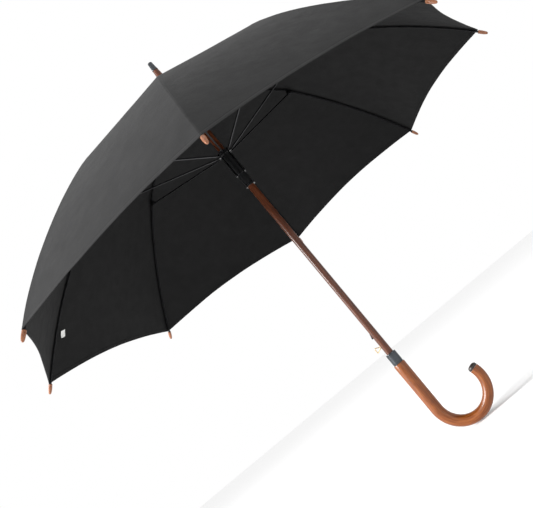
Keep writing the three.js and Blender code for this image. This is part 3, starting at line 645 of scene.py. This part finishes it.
TAG_ARM = 5
TAG_OUT = 0.85
TAG_WIDTH = 10 * MM
TAG_LENGTH = 12 * MM
TAG_OFFSET = 15 * MM
TAG_SIDE = -1
TAG_THICKNESS = 0.3 * MM
TAG_STEPS = 6
TAG_CLEAR = 1.2 * MM  # below the cloth at its sewn edge
TAG_HANG = 2.5 * MM
TAG_HANG_POWER = 1.6
TAG_CURL = 0.8 * MM


def tag_layer(turn, lift):
    """One face of the tag, which hangs by its upper edge from the inside of the cloth."""
    rows = []
    for i in range(TAG_STEPS + 1):
        along = i / TAG_STEPS
        out = TAG_OUT + along * TAG_LENGTH / GORE_LENGTH
        radius = rib_point(CROWN_SHARE + (HEM_SHARE - CROWN_SHARE) * out, CLOTH_LIFT).x
        drop = TAG_CLEAR + TAG_HANG * along ** TAG_HANG_POWER
        row = []
        for j in range(TAG_STEPS + 1):
            across = TAG_OFFSET + TAG_WIDTH * j / TAG_STEPS
            curl = TAG_CURL * math.sin(math.pi * j / TAG_STEPS) * along
            height = CLOTH_LIFT - drop - curl - lift
            row.append(turn @ cloth_point(out, radius, across, TAG_SIDE, height))
        rows.append(row)
    return rows


def build_tag():
    """The small white tag, which is blank."""
    turn = arm_turn(TAG_ARM)
    upper = tag_layer(turn, 0)
    lower = tag_layer(turn, TAG_THICKNESS)
    tag = sheet_piece("blank_tag", lower, upper, LABEL_WHITE, LABEL_WHITE)
    fold_with_rib(tag, TAG_ARM)


TIP_SOCKET_R = 2.2 * MM
TIP_SOCKET_DEPTH = 9 * MM
TIP_FOOT = [(2.9, 0), (3.2, 0.3), (3.4, 1.2), (3.4, 2.4), (3.1, 3), (3.1, 3.5)]  # (radius, height) in mm
TIP_BEAD_Z = 4  # mm
TIP_BEAD_LENGTH = 14  # mm
TIP_BLUNTNESS = 0.55
TIP_STEPS = 12
TIP_SIDES = 24


def build_tip(k):
    """A turned wooden bead on the rib's end."""
    start_share = HEM_SHARE + TIP_GAP / ARC_LENGTH
    start = rib_point(start_share)
    heading = heading_at(start_share + TIP_LENGTH / 2 / ARC_LENGTH)
    outline = [(0, TIP_SOCKET_DEPTH), (TIP_SOCKET_R, TIP_SOCKET_DEPTH), (TIP_SOCKET_R, 0)]
    outline += [(radius * MM, height * MM) for radius, height in TIP_FOOT]
    for step in range(TIP_STEPS + 1):
        share = step / TIP_STEPS
        height = (TIP_BEAD_Z + TIP_BEAD_LENGTH * math.sin(share * math.pi / 2)) * MM
        bulge = math.cos(share * math.pi / 2) ** TIP_BLUNTNESS if step < TIP_STEPS else 0
        outline.append((TIP_RADIUS * bulge, height))
    upright = Matrix.Rotation(math.pi / 2 - heading, 4, "Y")
    place = arm_turn(k) @ Matrix.Translation((start.x, 0, start.y)) @ upright
    tip = turned(f"tip_bead_{k}", outline, TIP_SIDES, TIP_WOOD, place)
    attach(tip, f"rib_{k}")
    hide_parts(f"rib_tip_{k}")


# ---------------------------------------------------------------- handle, head and trigger

CROOK_STEPS = 72
ROUND_SIDES = 48  # round the crook, its cap and the ferrule
CROOK_EDGE = 1.1 * MM  # rounding under the collar
EDGE_BREAK = 0.3  # share of the rounding that its first ring takes
STRAIGHT_STEP = 10 * MM
STRAIGHT_STEPS = 10
STRAIGHT_END_Z = -50 * MM


def crook_path():
    """The crook's centreline: the straight grip, then the bend."""
    path = [Vector((0, 0, GRIP_TOP_Z - k * STRAIGHT_STEP)) for k in range(STRAIGHT_STEPS)]
    path += [Vector((0, 0, STRAIGHT_END_Z))]
    for k in range(CROOK_STEPS + 1):
        angle = math.pi + CROOK_SWEEP * k / CROOK_STEPS
        x = CROOK_CENTRE.x + CROOK_BEND_R * math.cos(angle)
        z = CROOK_CENTRE.y + CROOK_BEND_R * math.sin(angle)
        path.append(Vector((x, 0, z)))
    return path


def build_crook():
    """The wooden crook, hollow at its top for the shaft. It returns its centreline."""
    path = crook_path()
    radii = [GRIP_R] * (len(path) - CROOK_STEPS - 1)
    for k in range(CROOK_STEPS + 1):
        radii.append(GRIP_R + (CROOK_END_R - GRIP_R) * k / CROOK_STEPS)
    floor = next(k for k, p in enumerate(path) if p.z <= SOCKET_FLOOR_Z)
    rim = GRIP_R - CROOK_EDGE * EDGE_BREAK
    lead = [(floor, SOCKET_R), (0, SOCKET_R), (0, GRIP_R - CROOK_EDGE), (0, rim)]
    path[1] = Vector((0, 0, GRIP_TOP_Z - CROOK_EDGE))
    crook = tube("crook_grip", path, [rim] + radii[1:], ROUND_SIDES, CROOK_WOOD, lead)
    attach(crook, "stick")
    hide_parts("crook_handle")
    return path


CAP_LINE_DEPTH = 0.3 * MM  # of the fine line round the end cap
CAP_LINE_LOW = 1.6 * MM
CAP_DOME_LOW = 2.2 * MM
CAP_BLUNTNESS = 0.7
CAP_STEPS = 12


def build_end_cap(path):
    """The domed cap on the crook's end."""
    along = (path[-1] - path[-2]).normalized()
    start = path[-1] + along * END_GAP
    inside = CROOK_END_R - CAP_LINE_DEPTH
    outline = [(0, 0), (inside, 0), (CROOK_END_R, CAP_LINE_DEPTH), (CROOK_END_R, CAP_LINE_LOW)]
    outline += [(inside, CAP_LINE_LOW + CAP_LINE_DEPTH), (CROOK_END_R, CAP_DOME_LOW)]
    for step in range(1, CAP_STEPS + 1):
        share = step / CAP_STEPS
        height = CAP_DOME_LOW + (END_CAP_LENGTH - CAP_DOME_LOW) * math.sin(share * math.pi / 2)
        reach = math.cos(share * math.pi / 2) ** CAP_BLUNTNESS if step < CAP_STEPS else 0
        outline.append((CROOK_END_R * reach, height))
    place = Matrix.Translation(start) @ along.to_track_quat("Z", "Y").to_matrix().to_4x4()
    cap = turned("crook_cap", outline, ROUND_SIDES, END_BLACK, place)
    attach(cap, "stick")
    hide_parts("crook_end_cap")


COLLAR_EDGE = 0.8 * MM
COLLAR_GROOVE_IN = 2.4 * MM  # from each end to a groove
GROOVE_DEPTH = 0.35 * MM
GROOVE_HALF = 0.4 * MM
GROOVE_FLOOR_HALF = 0.2 * MM
BAND_SIDES = 64


def build_collar():
    """The metal collar, with a fine groove near each end."""
    body = rounded(COLLAR_LOW_Z, COLLAR_TOP_Z, COLLAR_R, COLLAR_EDGE)
    half = len(body) // 2
    floor = COLLAR_R - GROOVE_DEPTH
    grooves = []
    for middle in (COLLAR_LOW_Z + COLLAR_GROOVE_IN, COLLAR_TOP_Z - COLLAR_GROOVE_IN):
        grooves += [(COLLAR_R, middle - GROOVE_HALF), (floor, middle - GROOVE_FLOOR_HALF)]
        grooves += [(floor, middle + GROOVE_FLOOR_HALF), (COLLAR_R, middle + GROOVE_HALF)]
    outline = [(SOCKET_R, COLLAR_LOW_Z)] + body[:half] + grooves + body[half:] + [(SOCKET_R, COLLAR_TOP_Z)]
    collar = turned("collar_band", outline, BAND_SIDES, GUNMETAL, closed=True)
    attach(collar, "stick")
    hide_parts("collar")


# The ferrule's cap as (radius, height) in mm: its socket, rim and skirt from its bottom, and its nose
# from its top
FERRULE_FOOT = [(0, 10), (3.9, 10), (3.9, 0), (5.7, 0), (5.9, 0.2), (5.9, 1.4)]
FERRULE_FOOT += [(5.6, 1.7), (5.5, 2.2), (5.0, 8)]
FERRULE_NOSE = [(4.55, -3), (4.3, -1.6), (3.6, -0.6), (2.2, -0.15), (0, 0)]


def build_ferrule():
    """The metal cap on the shaft's upper end."""
    outline = [(radius * MM, FERRULE_BOTTOM_Z + height * MM) for radius, height in FERRULE_FOOT]
    outline += [(radius * MM, FERRULE_TOP_Z + height * MM) for radius, height in FERRULE_NOSE]
    cap = turned("ferrule_tip", outline, ROUND_SIDES, GUNMETAL)
    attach(cap, "stick")
    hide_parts("ferrule_cap")


WASHER_THICKNESS = 1.2 * MM
WASHER_EDGE = 0.4 * MM
WASHER_RIM = 0.8  # height of the rim, as a share of the thickness
WASHER_BOW = 1.15  # above 1, the washer's top is domed
WASHER_STEPS = 8


def build_crown_cap():
    """The washer over the cloth, turned between its CAD node's lowest and highest points."""
    low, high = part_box("crown_washer")
    drop = (high.z - low.z) - WASHER_THICKNESS
    wide = high.x - SOCKET_R
    shares = [step / WASHER_STEPS for step in range(WASHER_STEPS + 1)]
    under = high.z - WASHER_THICKNESS
    outline = [(SOCKET_R + wide * share, under - drop * share ** WASHER_BOW) for share in shares]
    outline.append((high.x, low.z + WASHER_RIM * WASHER_THICKNESS))
    for share in reversed(shares):
        outline.append((SOCKET_R + (wide - WASHER_EDGE) * share, high.z - drop * share ** WASHER_BOW))
    cap = turned("crown_cap", outline, BAND_SIDES, BLACK_PLASTIC, closed=True)
    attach(cap, "stick")
    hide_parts("crown_washer")


def smooth_path(knots, per_span):
    """A Catmull-Rom curve through the knots."""
    ends = [knots[0] * 2 - knots[1]] + knots + [knots[-1] * 2 - knots[-2]]
    path = []
    for a, b, c, d in zip(ends, ends[1:], ends[2:], ends[3:]):
        for step in range(per_span):
            t = step / per_span
            path.append(
                0.5 * (2 * b + (c - a) * t + (2 * a - 5 * b + 4 * c - d) * t ** 2
                       + (3 * b - a - 3 * c + d) * t ** 3)
            )
    path.append(knots[-1])
    return path


TRIGGER_WIRE_R = 0.8 * MM
TRIGGER_ROOT_IN = 0.4 * MM
TRIGGER_NECK = 1.6 * MM  # half the loop's width at the lever
TRIGGER_NECK_LENGTH = 2.5 * MM
TRIGGER_FLARE_IN = 2.6 * MM
TRIGGER_FLARE_DROP = 0.6 * MM
TRIGGER_CORNER_IN = 0.8 * MM
TRIGGER_CORNER_DROP = 1.0 * MM
TRIGGER_STEPS = 6
TRIGGER_SIDES = 12


def build_trigger():
    """The wire loop that the thumb presses, inside the CAD loop's box."""
    low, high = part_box("trigger_wire")
    outer_x = low.x + TRIGGER_WIRE_R
    root_x = high.x - TRIGGER_ROOT_IN
    wide = (high.z - low.z) / 2 - TRIGGER_WIRE_R
    upper = [(root_x, TRIGGER_NECK), (root_x - TRIGGER_NECK_LENGTH, TRIGGER_NECK)]
    upper += [(outer_x + TRIGGER_FLARE_IN, wide - TRIGGER_FLARE_DROP)]
    upper += [(outer_x + TRIGGER_CORNER_IN, wide), (outer_x, wide - TRIGGER_CORNER_DROP), (outer_x, 0)]
    lower = [(x, -z) for x, z in reversed(upper[:-1])]
    knots = [Vector((x, 0, TRIGGER_Z + z)) for x, z in upper + lower]
    path = smooth_path(knots, TRIGGER_STEPS)
    loop = tube("trigger_loop", path, [TRIGGER_WIRE_R] * len(path), TRIGGER_SIDES, BRASS)
    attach(loop, "trigger")
    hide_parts("trigger_wire")


SPRING_STEPS_A_TURN = 24
SPRING_WIRE_SIDES = 8


def build_spring():
    """The opening spring: a coil of wire along the shaft's axis."""
    count = SPRING_TURNS * SPRING_STEPS_A_TURN
    path = []
    for k in range(count + 1):
        angle = 2 * math.pi * k / SPRING_STEPS_A_TURN
        z = SPRING_LOW_Z + (SPRING_HIGH_Z - SPRING_LOW_Z) * k / count
        path.append(Vector((SPRING_R * math.cos(angle), SPRING_R * math.sin(angle), z)))
    coil = tube("spring_coil", path, [SPRING_WIRE_R] * len(path), SPRING_WIRE_SIDES, SPRING_STEEL)
    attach(coil, "stick")
    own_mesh(coil)
    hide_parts("opening_spring")


# ---------------------------------------------------------------- carried-over CAD nodes

FINISHES = {
    "shaft": WOOD,
    "top_notch": BLACK_PLASTIC,
    "notch_wire": SPRING_STEEL,
    "stop_pin": SPRING_STEEL,
    "catch_pin": SPRING_STEEL,
    "catch_leaf_spring": SPRING_STEEL,
    "runner_barrel": BLACK_PLASTIC,
    "runner_sleeve": BLACK_PLASTIC,
    "drive_pin": SPRING_STEEL,
    "catch_lever": BLACK_STEEL,
}
for arm in range(1, ARM_COUNT + 1):
    for stem in ("rib", "rib_clip", "stretcher"):
        FINISHES[f"{stem}_{arm}"] = BLACK_STEEL


def paint_nodes():
    """The nodes that keep their CAD meshes get these materials."""
    for name, mat in FINISHES.items():
        for slot in NODES[name].material_slots:
            slot.material = mat


# ---------------------------------------------------------------- stage, light and camera

CAMERA_PLACE = Vector((0.4717, -1.3301, 0.0989))
CAMERA_AIM = Vector((0.0539, 0.1035, 0.2412))
CAMERA_ROLL = math.radians(-40.04)
CAMERA_LENS = 53.5
CAMERA_SHIFT = -0.188


def build_camera():
    """The camera where the photo was taken from, with the photo's tilt and framing."""
    data = bpy.data.cameras.new("photo_camera")
    data.lens = CAMERA_LENS
    data.shift_x = CAMERA_SHIFT
    camera = bpy.data.objects.new("photo_camera", data)
    level = (CAMERA_AIM - CAMERA_PLACE).to_track_quat("-Z", "Y")
    camera.rotation_mode = "QUATERNION"
    camera.rotation_quaternion = level @ Quaternion((0, 0, 1), CAMERA_ROLL)
    camera.location = CAMERA_PLACE
    bpy.context.scene.collection.objects.link(camera)
    bpy.context.scene.camera = camera


def area_light(name, place, aim, size, power):
    """A square light at a place, turned to its aim."""
    data = bpy.data.lights.new(name, "AREA")
    data.size = size
    data.energy = power
    light = bpy.data.objects.new(name, data)
    light.location = place
    light.rotation_mode = "QUATERNION"
    light.rotation_quaternion = (Vector(aim) - Vector(place)).to_track_quat("-Z", "Y")
    bpy.context.scene.collection.objects.link(light)


FLOOR_HALF = 12
FLOOR_GAP = 2 * MM
FLOOR_COLOR = (0.9, 0.9, 0.9)
FLOOR_ROUGHNESS = 0.9
WORLD_COLOR = (1, 1, 1, 1)
WORLD_STRENGTH = 1.0
LIGHTS = [  # name, place, aim, size in metres, watts
    ("key", (-2.6, -1.8, 1.3), (0, 0, 0.5), 1.6, 230),
    ("fill", (1.8, -1.2, 0.8), (0, 0, 0.3), 1.4, 6),
]


def build_stage():
    """The pale floor, the white surroundings and two soft lights."""
    floor_z = CAD_BOX[0][2] - FLOOR_GAP
    signs = ((-1, -1), (1, -1), (1, 1), (-1, 1))
    corners = [(x * FLOOR_HALF, y * FLOOR_HALF, floor_z) for x, y in signs]
    pale = Nodes("pale_floor", FLOOR_COLOR, FLOOR_ROUGHNESS).mat
    add_mesh("floor", corners, [(0, 1, 2, 3)], pale)
    world = bpy.data.worlds.new("soft_white")
    world.use_nodes = True
    background = world.node_tree.nodes["Background"]
    background.inputs["Color"].default_value = WORLD_COLOR
    background.inputs["Strength"].default_value = WORLD_STRENGTH
    bpy.context.scene.world = world
    bpy.context.scene.view_settings.view_transform = "Standard"
    for name, place, aim, size, power in LIGHTS:
        area_light(name, place, aim, size, power)


build_camera()
build_stage()
for arm in range(1, ARM_COUNT + 1):
    build_panel(arm)
    build_tip(arm)
build_tag()
build_end_cap(build_crook())
build_collar()
build_ferrule()
build_crown_cap()
build_trigger()
build_spring()
paint_nodes()
